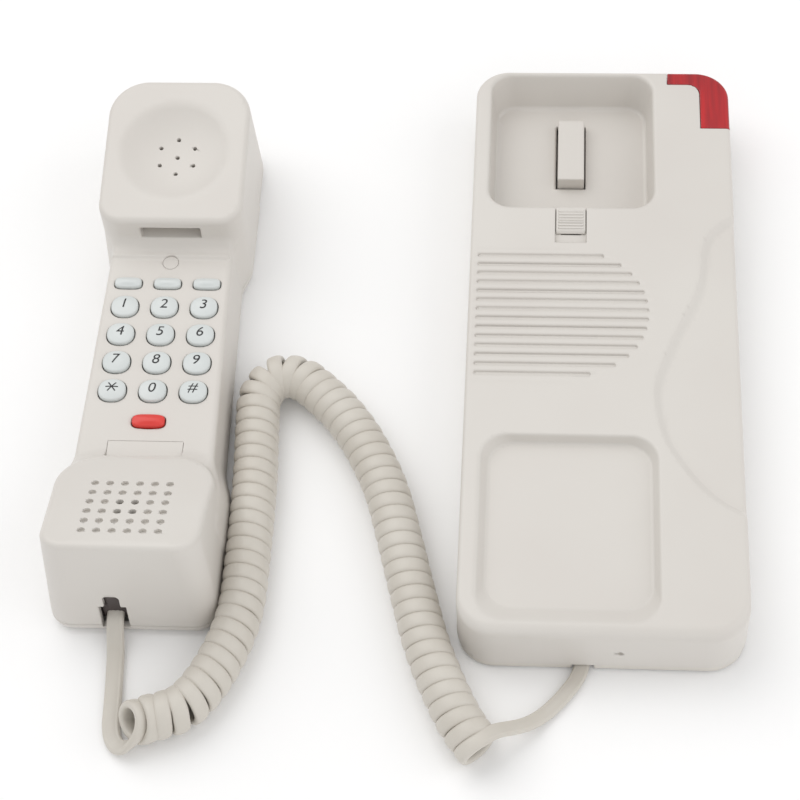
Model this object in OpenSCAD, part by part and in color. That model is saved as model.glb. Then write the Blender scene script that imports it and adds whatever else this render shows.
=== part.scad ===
// Slim two-piece desk and wall telephone: a flat base with two cradle recesses, and a handset with
// the keypad in its grip, joined by a curly cord. Millimetres, +Z up, z = 0 is the table top.
// The base lies on the right with its ear end towards +Y, and the handset lies on its back on the left.

/* [Base] */
// Width of the base
base_w = 82; // [80:0.5:86]
// Length of the base, front to back
base_l = 206; // [205:0.5:210]
// Height of the base above the table
base_h = 22; // [21.5:0.5:24]
// Plan radius of the base's corners
base_corner = 11; // [9:0.5:13]
// Radius of the base's top edge
base_edge = 3; // [2:0.25:3.5]
// Wall thickness of the base shell
base_wall = 2.2; // [2:0.1:2.5]

/* [Cradles] */
// Sideways place of both cradles from the base's midline
cradle_x = -9.8; // [-10.8:0.2:-9]
// Width of the ear cradle
ear_cradle_w = 52; // [51:0.2:53]
// Length of the ear cradle
ear_cradle_l = 55; // [52:0.5:55]
// Depth of the ear cradle
ear_cradle_d = 13; // [12:0.25:13]
// Length of the mouth cradle
mouth_cradle_l = 61; // [58:0.5:62]
// Depth of the mouth cradle
mouth_cradle_d = 4; // [3:0.25:4.5]
// Plan radius of the cradles' corners
cradle_corner = 6.5; // [5:0.5:8]

/* [Grooves] */
// Number of grooves beside the cradles
groove_n = 14; // [10:1:14]
// Distance between grooves
groove_pitch = 3.37; // [3.2:0.01:3.44]
// Width of a groove
groove_w = 1.3; // [1:0.1:1.8]
// Depth of a groove
groove_d = 0.9; // [0.5:0.1:1.2]

/* [Hook] */
// Width of the hook paddle
paddle_w = 8.5; // [8:0.1:9]
// Length of the hook paddle
paddle_l = 25.4; // [23:0.2:26]
// Height of the hook paddle above the cradle's floor
paddle_proud = 4.4; // [3.5:0.1:4.5]
// Travel of the hook paddle
paddle_travel = 2.5; // [2:0.1:2.5]

/* [Handset] */
// Length of the handset
handset_l = 182.6; // [182:0.2:184]
// Width of the handset's mouth block at its foot
mouth_w = 49.5; // [47:0.5:50]
// Width of the handset's ear block at its foot
ear_w = 45.5; // [45:0.5:47]
// Width of the grip's face
grip_w = 40.8; // [40:0.2:42]
// Height of the keypad face
grip_h = 21; // [20.5:0.25:22]
// Height of the parting line between the two handset shells
parting_h = 4.5; // [4:0.25:5]
// Wall thickness of the handset shells
hand_wall = 2.2; // [2:0.1:2.4]

/* [Keypad] */
// Distance between key columns
key_pitch_x = 12.25; // [12:0.05:12.5]
// Distance between key rows
key_pitch_y = 10.3; // [10:0.05:10.5]
// Width of a key
key_w = 8.3; // [7.5:0.1:8.4]
// Length of a key
key_l = 7.6; // [6.5:0.1:7.8]
// Travel of a key
key_travel = 1.2; // [0.8:0.1:1.2]

/* [Cord] */
// Outer diameter of the coiled part of the cord
coil_d = 13.5; // [12:0.5:14]
// Width of the flat lead
lead_w = 4.7; // [4:0.1:5]
// Thickness of the flat lead
lead_t = 2.6; // [2.2:0.1:2.8]

/* [Hidden] */

$fn = 48;
thin = 0.02;

// Places of the two halves in the row frame
base_x = 58.5;
base_y = -base_l / 2;
handset_x = -75.5;
handset_y = -95.6;

// Base heights
foot_h = 0.8;
plate_top = 3;
ear_floor = base_h - ear_cradle_d;
mouth_floor = base_h - mouth_cradle_d;
well_wall = 1.8;

// Base places, from the midline and the front edge
ear_cradle_y = base_l - 1.6 - ear_cradle_l / 2;
mouth_cradle_y = 3.3 + mouth_cradle_l / 2;
paddle_y = ear_cradle_y + 3.1;
skirt_z = plate_top + paddle_travel + 0.5;
retainer_y = ear_cradle_y - ear_cradle_l / 2 - 6.2;
retainer_w = 9.7;
retainer_l = 11;
retainer_out = 2.8;
retainer_in = 1;
retainer_leg_y = -1.6;
retainer_leg_l = 4.4;
groove_y = retainer_y - 13.1;
groove_left = -38.3;
groove_arc_r = 23.3;
groove_arc_x = -9.4;
groove_arc_y = groove_y - 6.3 * groove_pitch;
lens_back = 5.5;
lens_side = 9.6;
lens_x = 21.2;
lens_y = 182;
lens_z = 12;
step_d = 1.8;
jack_x = -5;
channel_w = 6.4;
bay_l = 9;
line_jack_y = 139.6;
keyhole_y = 40;
keyhole_pitch = 82.6;
keyhole_r = 4.3;
keyslot_r = 2.2;
keyslot_l = 8;
screw_places = [[-33, 12], [33, 12], [-33, 136], [30, 139]];
foot_places = [[-30, 24], [30, 24], [-30, 182], [30, 182]];
foot_r = 5;
spring_turns = 5;
spring_r = 2.2;
spring_l = 7.7;
spring_wire_r = 0.25;

// The curved edge of the lowered panel on the base's right side
step_route = [[43, 150], [38, 145.4], [32, 139.5], [30, 133], [29.6, 126], [27.2, 115],
    [22.2, 103.7], [16.8, 90], [14.8, 82], [15.2, 73.5], [17.6, 63], [22.3, 54.8], [29, 46],
    [36, 39.8], [43, 36.5]];

// Handset places, from its midline and its front edge
ear_foot_l = 60;
ear_foot_y = handset_l - 0.2 - ear_foot_l / 2;
ear_face_y = 151.3;
ear_face_z = 37.5;
ear_face_l = 50.4;
ear_face_w = 45;
ear_slope = 9;
ear_roof = 4.4;
mouth_face_y = 23;
mouth_face_z = 34.2;
mouth_face_l = 39.5;
mouth_face_w = 44.6;
mouth_slope = 22;
face_corner = 9;
cup_d = 35.6;
cup_depth = 4.8;
ear_hole_ring = 6.2;
ear_hole_r = 0.65;
mic_hole_r = 1.1;
mic_pitch = 4.33;
mic_n = 6;
catch_w = 18.5;
catch_h = 3;
catch_z = 25.4;
cover_y = 118.7;
cover_r = 2.45;
label_w = 22.7;
label_l = 6.8;
label_y = 49.7;
row_4_y = 70.5;
sos_y = 59.8;
sos_w = 9.8;
sos_l = 4.4;
function_y = 110.4;
function_l = 3.8;
hand_jack_x = -4.7;
plug_w = 7.6;
plug_h = 5.8;
plug_l = 11;
latch_w = 4.5;
hand_screw_places = [[-17.8, 168], [17.8, 168]];

// Keypad stack
face_under = grip_h - hand_wall;
key_flange = 1.2;
key_top = grip_h + 1.7;
board_z = 12.6;
board_t = 1.6;
membrane_t = 1.2;
membrane_top = board_z + board_t + membrane_t;
key_stem_z = membrane_top + key_travel + 0.4;
key_gap = 0.35;

// Cord routes in the row frame: x, y and the centre's height
tail_handset_route = [[-80.2, -88, 7.8], [-80.2, -91, 7.6], [-80.3, -94.5, 6.4],
    [-80.2, -98, 4.1], [-79.9, -102.4, 2], [-79.5, -108.2, 1.5], [-79.1, -114.2, 1.5],
    [-78.8, -119.7, 1.5], [-78.5, -124.7, 1.5], [-77.2, -129.3, 1.5]];
coil_route = [[-72.4, -126.8, 6.8], [-66.5, -124.5, 6.8], [-57.5, -120.5, 6.8], [-50, -109, 6.8],
    [-44.8, -92, 6.8], [-44, -71, 6.8], [-44.2, -47, 6.8], [-45.2, -28, 6.8], [-45.2, -17, 6.8],
    [-40.5, -10.2, 7.2], [-33, -10.6, 7.2], [-26.2, -15.8, 6.8], [-19, -23.5, 6.8],
    [-12, -34, 6.8], [-5, -49, 6.8], [0, -66, 6.8], [4.4, -82.5, 6.8], [8.8, -98, 6.8],
    [13.6, -110.5, 6.8], [19.6, -122.5, 6.8], [25, -129.8, 6.8]];
tail_base_route = [[28.6, -127.6, 11.2], [32, -125.8, 8.9], [35.4, -123.8, 6.2],
    [38.8, -121.4, 3.7], [42.4, -118.2, 1.9], [45.8, -114.7, 1.5], [49.1, -110.6, 1.5],
    [51.7, -106.6, 1.5], [53.1, -102.6, 1.5], [53.5, -98, 2], [53.5, -94.2, 3.4]];

// ---- Shared shapes ----

module on_base() translate([base_x, base_y, 0]) children();

module on_handset() translate([handset_x, handset_y, 0]) children();

// Rounded rectangle of exact arcs, centred
module round_rect(w, l, r) {
    square([w - 2 * r, l], center = true);
    square([w, l - 2 * r], center = true);
    for (sx = [-1, 1], sy = [-1, 1])
        translate([sx * (w / 2 - r), sy * (l / 2 - r)]) circle(r);
}

// A thin slice of a rounded rectangle, for the children of a hull
module slice(w, l, r) linear_extrude(thin) round_rect(w, l, max(r, 0.4), $fn = 32);

// Slab with a rounded top edge, one hull
module soft_slab(w, l, z0, z1, r, edge) {
    hull() {
        translate([0, 0, z0]) slice(w, l, r);
        for (a = [0, 30, 60, 90]) {
            inset = edge * (1 - cos(a));
            translate([0, 0, z1 - edge + edge * sin(a) - thin])
                slice(w - 2 * inset, l - 2 * inset, r - inset);
        }
    }
}

// Pill shape standing on z0
module pill(w, l, z0, z1) {
    r = min(w, l) / 2;
    translate([0, 0, z0]) linear_extrude(z1 - z0) {
        if (w > l) {
            square([w - 2 * r, l], center = true);
            for (s = [-1, 1]) translate([s * (w / 2 - r), 0]) circle(r);
        } else {
            circle(r);
        }
    }
}

module block(w, l, z0, z1) translate([-w / 2, -l / 2, z0]) cube([w, l, z1 - z0]);

module bore(r, z0, z1) translate([0, 0, z0]) cylinder(r = r, h = z1 - z0);

// Smooth curve through points, steps per span
function blend(a, b, c, d, t) = 0.5 * ((2 * b) + (c - a) * t + (2 * a - 5 * b + 4 * c - d) * t * t
    + (3 * b - a - 3 * c + d) * t * t * t);

function smooth(p, n) = let (m = len(p)) [
    for (i = [0 : m - 2], k = [0 : n - 1])
        blend(p[max(i - 1, 0)], p[i], p[i + 1], p[min(i + 2, m - 1)], k / n),
    p[m - 1]];

function unit(v) = v / norm(v);

function tangent(p, i) = unit(p[min(i + 1, len(p) - 1)] - p[max(i - 1, 0)]);

function sideways(t) = unit([-t[1], t[0], 0]);

// Tube swept along a smooth route, a across and b up, sides per ring
module swept(route, steps, a, b, sides) {
    p = smooth(route, steps);
    n = len(p);
    rings = [for (i = [0 : n - 1]) let (t = tangent(p, i), s = sideways(t), u = cross(t, s))
        for (k = [0 : sides - 1])
            p[i] + s * a * cos(360 * (k + 0.5) / sides) + u * b * sin(360 * (k + 0.5) / sides)];
    walls = [for (i = [0 : n - 2], k = [0 : sides - 1]) let (j = (k + 1) % sides)
        for (f = [[i * sides + k, (i + 1) * sides + k, i * sides + j],
                  [i * sides + j, (i + 1) * sides + k, (i + 1) * sides + j]]) f];
    ends = [[for (k = [0 : sides - 1]) k],
            [for (k = [sides - 1 : -1 : 0]) (n - 1) * sides + k]];
    polyhedron(points = rings, faces = concat(walls, ends), convexity = 8);
}

// ---- Base ----

module groove_cuts() {
    for (i = [0 : groove_n - 1]) {
        y = groove_y - i * groove_pitch;
        off = y - groove_arc_y;
        right = groove_arc_x + sqrt(max(0, groove_arc_r * groove_arc_r - off * off));
        translate([(groove_left + right) / 2, y, 0])
            pill(right - groove_left, groove_w, base_h - groove_d, base_h + 1);
    }
}

module lowered_panel() {
    edge = smooth(step_route, 4);
    translate([0, 0, base_h - step_d]) linear_extrude(step_d + 1) polygon(edge);
}

module lens_outline(gap) {
    translate([lens_x + gap, base_l - lens_back + gap]) square([base_w, lens_back + 1]);
    translate([base_w / 2 - lens_side + gap, lens_y + gap]) square([lens_side + 1, base_l]);
}

module cradle_cut(w, l, y, floor_z) {
    translate([cradle_x, y, floor_z]) linear_extrude(base_h) round_rect(w, l, cradle_corner);
}

module cradle_well(w, l, y, floor_z) {
    translate([cradle_x, y, floor_z - well_wall]) linear_extrude(base_h - floor_z + well_wall - 1.2)
        round_rect(w + 2 * well_wall, l + 2 * well_wall, cradle_corner + well_wall);
}

module base_outer(z0) {
    translate([0, base_l / 2, 0]) soft_slab(base_w, base_l, z0, base_h, base_corner, base_edge);
}

module base_front_shell() color("#ddd9d1") on_base() difference() {
    union() {
        difference() {
            base_outer(plate_top + 0.1);
            translate([0, base_l / 2, 0]) linear_extrude(base_h - base_wall)
                round_rect(base_w - 2 * base_wall, base_l - 2 * base_wall, base_corner - base_wall);
        }
        intersection() {
            translate([0, base_l / 2, plate_top]) linear_extrude(base_h - plate_top - 1)
                round_rect(base_w - 1, base_l - 1, base_corner - 0.5);
            union() {
                cradle_well(ear_cradle_w, ear_cradle_l, ear_cradle_y, ear_floor);
                cradle_well(ear_cradle_w, mouth_cradle_l, mouth_cradle_y, mouth_floor);
            }
        }
        for (p = screw_places)
            translate([p[0], p[1], 0]) bore(3.2, plate_top + 0.1, base_h - base_wall);
        translate([cradle_x, retainer_y - 1, 0])
            block(retainer_w + 4, retainer_l + 9, base_h - 5, base_h - 1);
    }
    cradle_cut(ear_cradle_w, ear_cradle_l, ear_cradle_y, ear_floor);
    cradle_cut(ear_cradle_w, mouth_cradle_l, mouth_cradle_y, mouth_floor);
    groove_cuts();
    lowered_panel();
    translate([0, 0, lens_z]) linear_extrude(base_h) lens_outline(0);
    translate([cradle_x, paddle_y, 0])
        block(paddle_w + 0.8, paddle_l + 0.8, plate_top, base_h);
    translate([cradle_x, retainer_y - 0.4, 0])
        block(retainer_w + 0.7, retainer_l + 4.6, base_h - 3.2, base_h + 1);
    translate([cradle_x, retainer_y + 4, 0])
        block(retainer_w + 0.7, retainer_l, base_h - 3.2, base_h + 1);
    translate([cradle_x, retainer_y + retainer_leg_y + (retainer_out - retainer_in) / 2, 0])
        block(4.8, retainer_leg_l + retainer_out + retainer_in + 0.8, plate_top, base_h);
    for (p = screw_places)
        translate([p[0], p[1], 0]) bore(1.5, plate_top, 13);
    translate([jack_x, 0, 0]) block(channel_w, 2 * bay_l, 0, 5);
}

module base_back_plate() color("#d6d2ca") on_base() difference() {
    translate([0, base_l / 2, foot_h]) linear_extrude(plate_top - foot_h)
        round_rect(base_w - 0.6, base_l - 0.6, base_corner - 0.3);
    translate([jack_x, 0, 0]) block(channel_w, 2 * bay_l, 0, 5);
    translate([jack_x, bay_l + 7.6, 0]) block(13.4, 24, 0, 5);
    for (i = [0, 1]) translate([0, keyhole_y + i * keyhole_pitch, 0]) {
        bore(keyhole_r, 0, 5);
        translate([0, keyslot_l / 2, 0]) block(2 * keyslot_r, keyslot_l, 0, 5);
        translate([0, keyslot_l, 0]) bore(keyslot_r, 0, 5);
    }
    for (p = screw_places) translate([p[0], p[1], 0]) {
        bore(1.6, 0, 5);
        bore(2.9, 0, 1.8);
    }
    for (p = foot_places) translate([p[0], p[1], 0]) bore(foot_r + 0.1, 0, foot_h + 0.6);
    translate([20, line_jack_y, 0]) block(12.4, 14.4, 0, 5);
}

module message_lamp_lens() color("#b8383b") on_base() {
    translate([0, 0, lens_z + 0.1]) linear_extrude(base_h - base_wall - lens_z + 0.4) intersection() {
        difference() {
            translate([0, base_l / 2]) round_rect(base_w, base_l, base_corner);
            translate([0, base_l / 2])
                round_rect(base_w - 2 * base_wall, base_l - 2 * base_wall, base_corner - base_wall);
        }
        lens_outline(0.1);
    }
    translate([0, 0, base_h - base_wall]) linear_extrude(base_wall) intersection() {
        translate([0, base_l / 2]) round_rect(base_w - 1.8, base_l - 1.8, base_corner - 0.9);
        lens_outline(0.1);
    }
}

module message_lamp_led() color("#e8e4da") on_base() {
    for (p = [[30, 197.6], [34.4, 189]]) translate([p[0], p[1], 0]) {
        bore(1.5, 10, 15.6);
        translate([0, 0, 15.6]) sphere(1.5);
        bore(1.9, 9.2, 10);
    }
}

module base_circuit_board() color("#2f6b3f") on_base() {
    difference() {
        translate([0, 89, 0]) block(66, 40, 5.4, 7);
        translate([26, 78, 0]) bore(1.6, 5, 8);
        translate([-26, 100, 0]) bore(1.6, 5, 8);
    }
    for (i = [0 : 4]) translate([-24 + i * 11, 92 - 5 * (i % 2), 0]) block(6, 8, 7, 9 + i % 3);
}

module hook_switch() color("#26262a") on_base()
    translate([cradle_x + 12.6, paddle_y, 0]) {
        block(6, 12.8, plate_top, ear_floor - well_wall - 0.3);
        translate([-3.6, 0, 0]) block(1.4, 4, 3.4, 4.6);
    }

module hook_spring() color("silver") on_base() translate([cradle_x, paddle_y, plate_top + 0.3])
    swept([for (i = [0 : spring_turns * 12])
        [spring_r * cos(30 * i), spring_r * sin(30 * i), i * spring_l / (spring_turns * 12)]],
        1, spring_wire_r, spring_wire_r, 6);

module hook_plunger() color("#d9d5cd") on_base()
    translate([cradle_x, paddle_y, 0]) difference() {
        union() {
            block(paddle_w, paddle_l, ear_floor - 2.6, ear_floor + paddle_proud);
            block(paddle_w + 2.4, paddle_l + 2.4, skirt_z, skirt_z + 1);
        }
        bore(3, 0, 11.4);
    }

module handset_retainer() color("#d9d5cd") on_base()
    translate([cradle_x, retainer_y, 0]) difference() {
        union() {
            block(retainer_w, retainer_l, base_h - 3, base_h + 0.2);
            translate([0, retainer_leg_y, 0]) {
                block(4.2, retainer_leg_l, base_h - 6, base_h - 2.8);
                block(7, retainer_leg_l, base_h - 6.6, base_h - 5.4);
            }
        }
        for (i = [0 : 6])
            translate([0, retainer_l / 2 - 1.6 - i * 1.15, 0])
                block(retainer_w + 1, 0.5, base_h - 0.2, base_h + 1);
    }

module ringer() color("#202024") on_base() translate([24, 48, 0]) difference() {
    bore(11, plate_top, 10);
    bore(1.6, 8, 11);
}

module base_cord_jack() color("#2b2728") on_base() translate([jack_x, bay_l, 0]) difference() {
    translate([0, 7, 0]) block(12.6, 14, foot_h + 0.4, 9.6);
    translate([0, 5, 0]) block(plug_w + 0.3, 14, 1.55, 1.75 + plug_h + 0.2);
    translate([0, 2, 0]) block(latch_w, 10, 0, 4);
}

module line_jack() color("#2b2728") on_base() translate([20, line_jack_y, 0]) difference() {
    block(12, 14, foot_h + 0.2, 15);
    block(9.8, 6.8, 0, 12.8);
}

module base_screws() color("silver") on_base()
    for (p = screw_places) translate([p[0], p[1], 0]) difference() {
        union() {
            bore(2.7, 1, 1.8);
            bore(1.4, 1.8, 12);
        }
        block(0.8, 3, 0, 1.4);
        block(3, 0.8, 0, 1.4);
    }

module base_feet() color("#8c8a86") on_base()
    for (p = foot_places) translate([p[0], p[1], 0]) bore(foot_r, 0, foot_h + 0.6);

// ---- Handset ----

module mouth_face(grow, down) {
    translate([0, mouth_face_y, mouth_face_z]) rotate([-mouth_slope, 0, 0])
        translate([0, 0, down]) slice(mouth_face_w + grow, mouth_face_l + grow, face_corner + grow / 2);
}

module ear_face(grow, down) {
    translate([0, ear_face_y, ear_face_z]) rotate([ear_slope, 0, 0])
        translate([0, 0, down]) slice(ear_face_w + grow, ear_face_l + grow, face_corner + grow / 2);
}

// Mouth block of the front shell; inset is the wall taken off for the inside
module mouth_block(inset, z0) hull() {
    translate([0, 24.4, z0]) slice(mouth_w - 2 * inset, 48.2 - 2 * inset, 9 - inset);
    mouth_face(-2 * inset - 2.4, -inset - (inset > 0 ? 1 : 0) - thin);
    mouth_face(-2 * inset, -inset - 2);
}

module ear_block(inset, z0) hull() {
    translate([0, ear_foot_y, z0]) slice(ear_w - 2 * inset, ear_foot_l - 2 * inset, 10 - inset);
    ear_face(-2 * inset - 2.4, -inset - (inset > 0 ? ear_roof : 0) - thin);
    ear_face(-2 * inset, -inset - 2 - (inset > 0 ? ear_roof : 0));
}

module grip(inset, z0) hull() {
    translate([0, 92, z0]) slice(43.4 - 2 * inset, 130, 2.5);
    translate([0, 92, grip_h - inset - 1.6]) slice(grip_w + 0.5 - 2 * inset, 130, 2.5);
    translate([0, 92, grip_h - inset - thin]) slice(grip_w - 2.4 - 2 * inset, 130, 1.5);
}

module key_hole(w, l) pill(w + 2 * key_gap, l + 2 * key_gap, face_under - 1, grip_h + 1);

module key_place(col, row) translate([(col - 1) * key_pitch_x, row_4_y + row * key_pitch_y, 0])
    children();

module function_place(col) translate([(col - 1) * key_pitch_x, function_y, 0]) children();

module sos_place() translate([0, sos_y, 0]) children();

module mic_grid() {
    translate([0, mouth_face_y, mouth_face_z]) rotate([-mouth_slope, 0, 0])
        for (i = [0 : mic_n - 1], j = [0 : mic_n - 1]) {
            middle = (i == 2 || i == 3) && (j == 2 || j == 3);
            translate([(i - 2.5) * mic_pitch, (j - 2.5) * mic_pitch, middle ? -8 : -0.8])
                cylinder(r = mic_hole_r, h = 10);
        }
}

module ear_cup() {
    ball = (cup_d * cup_d / 4 + cup_depth * cup_depth) / (2 * cup_depth);
    translate([0, ear_face_y, ear_face_z]) rotate([ear_slope, 0, 0]) {
        translate([0, 0, ball - cup_depth]) sphere(ball);
        for (i = [0 : 6]) {
            ring = i < 6 ? ear_hole_ring : 0;
            translate([ring * sin(60 * i), ring * cos(60 * i), -10]) cylinder(r = ear_hole_r, h = 12);
        }
    }
}

module jack_opening() translate([hand_jack_x, 0, 0]) {
    block(plug_w + 0.3, 12, parting_h - 1, 11.4);
    block(latch_w, 12, 11, 15.2);
}

module handset_front_shell() color("#ddd9d1") on_handset() difference() {
    union() {
        difference() {
            union() {
                mouth_block(0, parting_h);
                ear_block(0, parting_h);
                grip(0, parting_h);
            }
            mouth_block(hand_wall, 0);
            ear_block(hand_wall, 0);
            grip(hand_wall, 0);
        }
        for (p = hand_screw_places)
            translate([p[0], p[1], 0]) bore(3.4, parting_h, 20);
        translate([0, cover_y, 0]) bore(4, 12.2, grip_h - 1);
        translate([hand_jack_x, 6.4, 0]) block(14, 6, parting_h, 17);
    }
    ear_cup();
    mic_grid();
    for (col = [0 : 2], row = [0 : 3]) key_place(col, row) key_hole(key_w, key_l);
    for (col = [0 : 2]) function_place(col) key_hole(key_w, function_l);
    sos_place() key_hole(sos_w, sos_l);
    translate([0, cover_y, 0]) {
        bore(cover_r + 0.05, 15, grip_h + 1);
        bore(1.6, 12, 16);
    }
    translate([0, label_y, 0]) block(label_w, label_l, grip_h - 0.4, grip_h + 1);
    translate([0, 127, 0]) block(catch_w, 12, catch_z, catch_z + catch_h);
    for (p = hand_screw_places)
        translate([p[0], p[1], 0]) bore(1.5, parting_h - 1, 14);
    jack_opening();
    translate([hand_jack_x, 11.8, 0]) block(12.6, 16.4, parting_h - 1, 16.6);
}

module handset_back_shell() color("#ddd9d1") on_handset() difference() {
    union() {
        difference() {
            union() {
                hull() {
                    translate([0, 24.4, parting_h - thin - 0.1]) slice(mouth_w, 48.2, 9);
                    translate([0, 24.4, 2]) slice(mouth_w - 2, 47.2, 8.5);
                    translate([0, 25.6, 0]) slice(mouth_w - 8, 42, 7);
                }
                hull() {
                    translate([0, ear_foot_y, parting_h - thin - 0.1]) slice(ear_w, ear_foot_l, 10);
                    translate([0, ear_foot_y, 2]) slice(ear_w - 2, ear_foot_l - 1, 9);
                    translate([0, ear_foot_y, 0]) slice(ear_w - 8, ear_foot_l - 7, 7);
                }
                hull() {
                    translate([0, 92, parting_h - thin - 0.1]) slice(43.4, 130, 2.5);
                    translate([0, 92, 2]) slice(41.4, 130, 2.5);
                    translate([0, 92, 0]) slice(36, 130, 2.5);
                }
            }
            translate([0, 91.4, hand_wall]) linear_extrude(10) round_rect(37, 175, 6);
        }
        translate([0, cover_y, 0]) bore(3.4, 1, 12);
    }
    translate([0, cover_y, 0]) bore(1.5, 3, 14);
    for (p = hand_screw_places) translate([p[0], p[1], 0]) {
        bore(1.6, -1, 6);
        bore(2.9, -1, 1.4);
    }
    translate([hand_jack_x, 0, 0]) block(plug_w + 0.3, 12, parting_h - 0.9, 6);
}

module ear_receiver() color("#3a3a3e") on_handset()
    translate([0, ear_face_y, ear_face_z]) rotate([ear_slope, 0, 0]) difference() {
        bore(13.5, -14.6, -7.6);
        bore(2, -8.6, -7);
    }

module mic_capsule() color("#9a9a9e") on_handset()
    translate([0, mouth_face_y, mouth_face_z]) rotate([-mouth_slope, 0, 0]) difference() {
        bore(4.85, -9.6, -3.6);
        bore(1.2, -4.2, -3);
    }

module keypad_membrane() color("#c9c9c6") on_handset() {
    translate([0, 83.6, 0]) block(36.4, 56, board_z + board_t, membrane_top);
    for (col = [0 : 2], row = [0 : 3])
        key_place(col, row) bore(2.4, board_z + board_t, membrane_top + 0.1);
}

module handset_circuit_board() color("#2f6b3f") on_handset() difference() {
    translate([0, 82, 0]) block(37, 64, board_z, board_z + board_t);
    for (s = [-1, 1]) translate([16 * s, 53, 0]) bore(1.3, board_z - 1, board_z + 3);
}

module handset_cord_jack() color("#2b2728") on_handset() translate([hand_jack_x, 0, 0])
    difference() {
        translate([0, 12, 0]) block(12.2, 16.6, parting_h + 0.2, 16.4);
        translate([0, 11, 0]) block(plug_w + 0.3, 15.6, parting_h + 0.7, 11.4);
        translate([0, 10, 0]) block(latch_w, 14, 11, 15.2);
    }

module handset_screws() color("silver") on_handset() {
    for (p = hand_screw_places) translate([p[0], p[1], 0]) difference() {
        union() {
            bore(2.6, 0.6, 1.4);
            bore(1.4, 1.4, 13);
        }
        block(0.8, 3, 0, 1);
        block(3, 0.8, 0, 1);
    }
    translate([0, cover_y, 0]) difference() {
        union() {
            bore(2.3, 15, 16.4);
            bore(1.4, 5, 15);
        }
        block(0.8, 3, 15.9, 17);
        block(3, 0.8, 15.9, 17);
    }
}

module screw_cover() color("#d6d2ca") on_handset()
    translate([0, cover_y, 0]) bore(cover_r, grip_h - 2.2, grip_h + 0.1);

module label_plate() color("#dedad3") on_handset()
    translate([0, label_y, 0]) block(label_w - 0.3, label_l - 0.3, grip_h - 0.4, grip_h);

module ballast_weight() color("#77777a") on_handset() translate([6, 33, 0]) difference() {
    block(22, 20, parting_h + 0.3, 12);
    bore(2, parting_h, 13);
}

// One key: a cap through the face, a flange under it and a short stem
module key_cap(w, l, tone) color(tone) {
    pill(w, l, face_under - 0.2, key_top);
    pill(w + 1.6, l + 1.4, face_under - 0.2 - key_flange, face_under - 0.2);
    bore(1.2, key_stem_z, face_under - 0.1 - key_flange);
}

module digit_key(col, row) on_handset() key_place(col, row) key_cap(key_w, key_l, "#d8dcdd");

module function_key(col) on_handset() function_place(col) key_cap(key_w, function_l, "#d8dcdd");

module key_1() digit_key(0, 3);
module key_2() digit_key(1, 3);
module key_3() digit_key(2, 3);
module key_4() digit_key(0, 2);
module key_5() digit_key(1, 2);
module key_6() digit_key(2, 2);
module key_7() digit_key(0, 1);
module key_8() digit_key(1, 1);
module key_9() digit_key(2, 1);
module key_star() digit_key(0, 0);
module key_0() digit_key(1, 0);
module key_hash() digit_key(2, 0);
module key_flash() function_key(0);
module key_redial() function_key(1);
module key_hold() function_key(2);
module key_sos() on_handset() sos_place() key_cap(sos_w, sos_l, "#d6453f");

// ---- Cord ----

module modular_plug() {
    block(plug_w, plug_l, -plug_h / 2, plug_h / 2);
}

module plug_handset() color("#c8c4bc") on_handset()
    translate([hand_jack_x, 8.6 + plug_l / 2 - 1, 0]) {
        translate([0, 0, 8.3]) modular_plug();
        translate([0, -1, 0]) block(3, 6, 11.1, 12.4);
    }

module plug_base() color("#c8c4bc") on_base()
    translate([jack_x, bay_l + plug_l / 2, 0]) {
        translate([0, 0, 1.75 + plug_h / 2]) modular_plug();
    }

module cord_tail_handset() color("#cbc5b9")
    swept(tail_handset_route, 4, lead_w / 2, lead_t / 2, 8);

module cord_coil() color("#cbc5b9")
    swept(coil_route, 3, coil_d / 2, coil_d / 2, 12);

module cord_tail_base() color("#cbc5b9")
    swept(tail_base_route, 4, lead_w / 2, lead_t / 2, 8);

base_front_shell();
base_back_plate();
message_lamp_lens();
message_lamp_led();
base_circuit_board();
hook_switch();
hook_spring();
hook_plunger();
handset_retainer();
ringer();
base_cord_jack();
line_jack();
base_screws();
base_feet();
handset_front_shell();
handset_back_shell();
ear_receiver();
mic_capsule();
keypad_membrane();
handset_circuit_board();
handset_cord_jack();
handset_screws();
screw_cover();
label_plate();
ballast_weight();
key_1();
key_2();
key_3();
key_4();
key_5();
key_6();
key_7();
key_8();
key_9();
key_star();
key_0();
key_hash();
key_flash();
key_redial();
key_hold();
key_sos();
plug_handset();
plug_base();
cord_tail_handset();
cord_coil();
cord_tail_base();
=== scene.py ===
"""A slim corded telephone: base with two cradles, handset with its keypad, and the curly cord."""
import math

import bpy
import numpy as np
import openvdb
from mathutils import Matrix, Vector


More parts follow.
